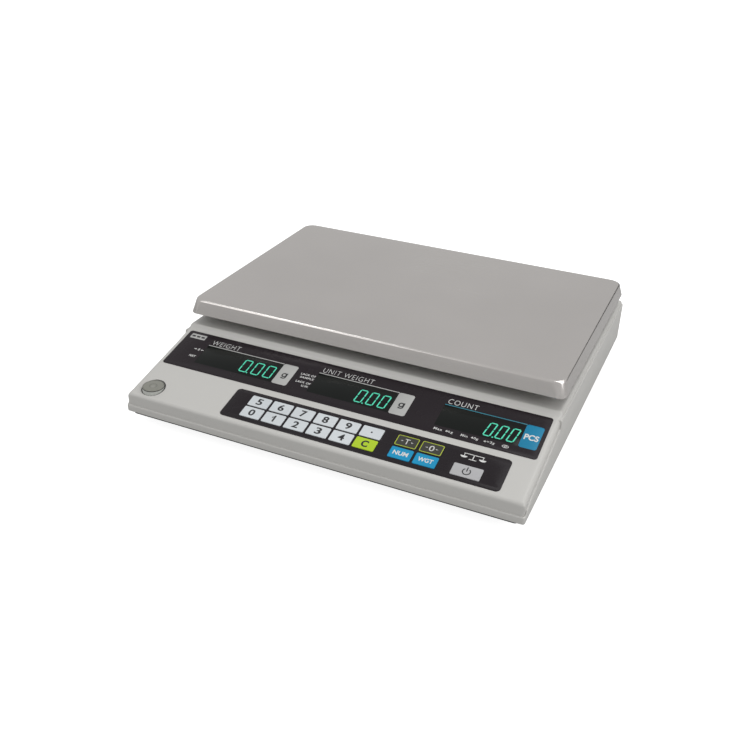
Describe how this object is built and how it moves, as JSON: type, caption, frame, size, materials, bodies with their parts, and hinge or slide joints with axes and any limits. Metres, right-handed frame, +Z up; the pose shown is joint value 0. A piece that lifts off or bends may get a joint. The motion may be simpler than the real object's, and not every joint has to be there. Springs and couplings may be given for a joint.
{
  "type": "counting scale",
  "caption": "Bench counting scale with a stainless platter, a sloping console with keypad and display windows, a bubble level and levelling feet.",
  "frame": {"origin": "on the table under the middle of the housing, at the feet's underside", "axes": "+X to the user's right, +Y to the back, +Z up; the console faces -Y"},
  "size_m": [0.35, 0.33, 0.0761],
  "materials": {
    "stainless": "fine satin brushing along the width",
    "rubber": "matt rubber",
    "cast_aluminium": "as cast",
    "machined_aluminium": "milled",
    "cell_aluminium": "milled and clear anodised",
    "black_steel": "black oxide",
    "cable_grey": "smooth sheath",
    "housing_top": "fine moulded texture, warm light grey",
    "housing_bottom": "fine moulded texture, warm light grey",
    "black_plate": "black powder coat",
    "zinc_screws": "zinc plated",
    "display_film": "printed polyester film, semi-gloss",
    "keypad_film": "printed polyester film, satin",
    "circuit_board": "green solder mask",
    "display_glass": "dark display glass",
    "switch_black": "moulded",
    "key_white": "satin film",
    "key_green": "satin film",
    "key_dark": "satin film with a yellow-green outline",
    "key_blue": "satin film",
    "key_grey": "satin film",
    "component_black": "moulded packages",
    "transformer_steel": "varnished laminations",
    "ribbon_grey": "flat cable",
    "vial_acrylic": "clear acrylic over green-grey fluid",
    "level_ring": "satin grey",
    "bubble": "air",
    "connector_black": "moulded",
    "connector_metal": "nickel-plated shell"
  },
  "bodies": {
    "root": {"load_cell": "cell_aluminium", "lower_spacer": "machined_aluminium", "load_cell_screws": "black_steel", "overload_stop": "black_steel", "load_cell_cable": "cable_grey", "upper_housing": "housing_top", "lower_housing": "housing_bottom", "base_plate": "black_plate", "housing_screws": "zinc_screws", "display_overlay": "display_film", "display_board": "circuit_board", "vfd_weight": "display_glass", "vfd_unit_weight": "display_glass", "vfd_count": "display_glass", "keypad_overlay": "keypad_film", "keypad_board": "circuit_board", "key_switches": "switch_black", "main_board": "circuit_board", "board_parts": "component_black", "board_screws": "zinc_screws", "transformer": "transformer_steel", "display_cable": "ribbon_grey", "keypad_cable": "ribbon_grey", "level_vial": "vial_acrylic", "level_ring": "level_ring", "level_bubble": "bubble", "mains_inlet": "connector_black", "fuse_holder": "connector_black", "serial_port": "connector_metal", "foot_nuts": "zinc_screws"},
    "platform": {"platter_pads": "rubber", "platter_support": "cast_aluminium", "support_screws": "black_steel", "upper_spacer": "machined_aluminium"},
    "platter": {"platter": "stainless"},
    "key_5": {"key_5": "key_white"},
    "key_6": {"key_6": "key_white"},
    "key_7": {"key_7": "key_white"},
    "key_8": {"key_8": "key_white"},
    "key_9": {"key_9": "key_white"},
    "key_point": {"key_point": "key_white"},
    "key_0": {"key_0": "key_white"},
    "key_1": {"key_1": "key_white"},
    "key_2": {"key_2": "key_white"},
    "key_3": {"key_3": "key_white"},
    "key_4": {"key_4": "key_white"},
    "key_clear": {"key_clear": "key_green"},
    "key_tare": {"key_tare": "key_dark"},
    "key_number": {"key_number": "key_blue"},
    "key_zero": {"key_zero": "key_dark"},
    "key_weight": {"key_weight": "key_blue"},
    "key_power": {"key_power": "key_grey"},
    "sole_front_left": {"foot_sole_front_left": "rubber"},
    "screw_front_left": {"foot_screw_front_left": "zinc_screws"},
    "sole_front_right": {"foot_sole_front_right": "rubber"},
    "screw_front_right": {"foot_screw_front_right": "zinc_screws"},
    "sole_back_left": {"foot_sole_back_left": "rubber"},
    "screw_back_left": {"foot_screw_back_left": "zinc_screws"},
    "sole_back_right": {"foot_sole_back_right": "rubber"},
    "screw_back_right": {"foot_screw_back_right": "zinc_screws"}
  },
  "joints": [
    {"name": "load_deflection", "type": "slide", "parent": "root", "child": "platform", "axis": [0, 0, -1], "range_m": [0, 0.0005], "stiffness_N_per_m": 235000, "springref_m": -0.00011, "deforming": ["load_cell"]},
    {"name": "platter_lift", "type": "slide", "parent": "platform", "child": "platter", "axis": [0, 0, 1], "range_m": [0, 0.06]},
    {"name": "key_5_press", "type": "slide", "parent": "root", "child": "key_5", "axis": [0, 0.2158, -0.9764], "range_m": [0, 0.0005], "stiffness_N_per_m": 2000, "springref_m": -0.0004},
    {"name": "key_6_press", "type": "slide", "parent": "root", "child": "key_6", "axis": [0, 0.2158, -0.9764], "range_m": [0, 0.0005], "stiffness_N_per_m": 2000, "springref_m": -0.0004},
    {"name": "key_7_press", "type": "slide", "parent": "root", "child": "key_7", "axis": [0, 0.2158, -0.9764], "range_m": [0, 0.0005], "stiffness_N_per_m": 2000, "springref_m": -0.0004},
    {"name": "key_8_press", "type": "slide", "parent": "root", "child": "key_8", "axis": [0, 0.2158, -0.9764], "range_m": [0, 0.0005], "stiffness_N_per_m": 2000, "springref_m": -0.0004},
    {"name": "key_9_press", "type": "slide", "parent": "root", "child": "key_9", "axis": [0, 0.2158, -0.9764], "range_m": [0, 0.0005], "stiffness_N_per_m": 2000, "springref_m": -0.0004},
    {"name": "key_point_press", "type": "slide", "parent": "root", "child": "key_point", "axis": [0, 0.2158, -0.9764], "range_m": [0, 0.0005], "stiffness_N_per_m": 2000, "springref_m": -0.0004},
    {"name": "key_0_press", "type": "slide", "parent": "root", "child": "key_0", "axis": [0, 0.2158, -0.9764], "range_m": [0, 0.0005], "stiffness_N_per_m": 2000, "springref_m": -0.0004},
    {"name": "key_1_press", "type": "slide", "parent": "root", "child": "key_1", "axis": [0, 0.2158, -0.9764], "range_m": [0, 0.0005], "stiffness_N_per_m": 2000, "springref_m": -0.0004},
    {"name": "key_2_press", "type": "slide", "parent": "root", "child": "key_2", "axis": [0, 0.2158, -0.9764], "range_m": [0, 0.0005], "stiffness_N_per_m": 2000, "springref_m": -0.0004},
    {"name": "key_3_press", "type": "slide", "parent": "root", "child": "key_3", "axis": [0, 0.2158, -0.9764], "range_m": [0, 0.0005], "stiffness_N_per_m": 2000, "springref_m": -0.0004},
    {"name": "key_4_press", "type": "slide", "parent": "root", "child": "key_4", "axis": [0, 0.2158, -0.9764], "range_m": [0, 0.0005], "stiffness_N_per_m": 2000, "springref_m": -0.0004},
    {"name": "key_clear_press", "type": "slide", "parent": "root", "child": "key_clear", "axis": [0, 0.2158, -0.9764], "range_m": [0, 0.0005], "stiffness_N_per_m": 2000, "springref_m": -0.0004},
    {"name": "key_tare_press", "type": "slide", "parent": "root", "child": "key_tare", "axis": [0, 0.2158, -0.9764], "range_m": [0, 0.0005], "stiffness_N_per_m": 2000, "springref_m": -0.0004},
    {"name": "key_number_press", "type": "slide", "parent": "root", "child": "key_number", "axis": [0, 0.2158, -0.9764], "range_m": [0, 0.0005], "stiffness_N_per_m": 2000, "springref_m": -0.0004},
    {"name": "key_zero_press", "type": "slide", "parent": "root", "child": "key_zero", "axis": [0, 0.2158, -0.9764], "range_m": [0, 0.0005], "stiffness_N_per_m": 2000, "springref_m": -0.0004},
    {"name": "key_weight_press", "type": "slide", "parent": "root", "child": "key_weight", "axis": [0, 0.2158, -0.9764], "range_m": [0, 0.0005], "stiffness_N_per_m": 2000, "springref_m": -0.0004},
    {"name": "key_power_press", "type": "slide", "parent": "root", "child": "key_power", "axis": [0, 0.2158, -0.9764], "range_m": [0, 0.0005], "stiffness_N_per_m": 2000, "springref_m": -0.0004},
    {"name": "foot_height_front_left", "type": "slide", "parent": "root", "child": "sole_front_left", "axis": [0, 0, -1], "range_m": [0, 0.006]},
    {"name": "foot_turn_front_left", "type": "hinge", "parent": "sole_front_left", "child": "screw_front_left", "pos_m": [-0.145, -0.128, 0], "axis": [0, 0, 1], "range_deg": [0, 1730]},
    {"name": "foot_height_front_right", "type": "slide", "parent": "root", "child": "sole_front_right", "axis": [0, 0, -1], "range_m": [0, 0.006]},
    {"name": "foot_turn_front_right", "type": "hinge", "parent": "sole_front_right", "child": "screw_front_right", "pos_m": [0.145, -0.128, 0], "axis": [0, 0, 1], "range_deg": [0, 1730]},
    {"name": "foot_height_back_left", "type": "slide", "parent": "root", "child": "sole_back_left", "axis": [0, 0, -1], "range_m": [0, 0.006]},
    {"name": "foot_turn_back_left", "type": "hinge", "parent": "sole_back_left", "child": "screw_back_left", "pos_m": [-0.145, 0.128, 0], "axis": [0, 0, 1], "range_deg": [0, 1730]},
    {"name": "foot_height_back_right", "type": "slide", "parent": "root", "child": "sole_back_right", "axis": [0, 0, -1], "range_m": [0, 0.006]},
    {"name": "foot_turn_back_right", "type": "hinge", "parent": "sole_back_right", "child": "screw_back_right", "pos_m": [0.145, 0.128, 0], "axis": [0, 0, 1], "range_deg": [0, 1730]}
  ],
  "couplings": [
    {"joint": "foot_turn_front_left", "follows": "foot_height_front_left", "rad_per_m": 5026.5},
    {"joint": "foot_turn_front_right", "follows": "foot_height_front_right", "rad_per_m": 5026.5},
    {"joint": "foot_turn_back_left", "follows": "foot_height_back_left", "rad_per_m": 5026.5},
    {"joint": "foot_turn_back_right", "follows": "foot_height_back_right", "rad_per_m": 5026.5}
  ]
}
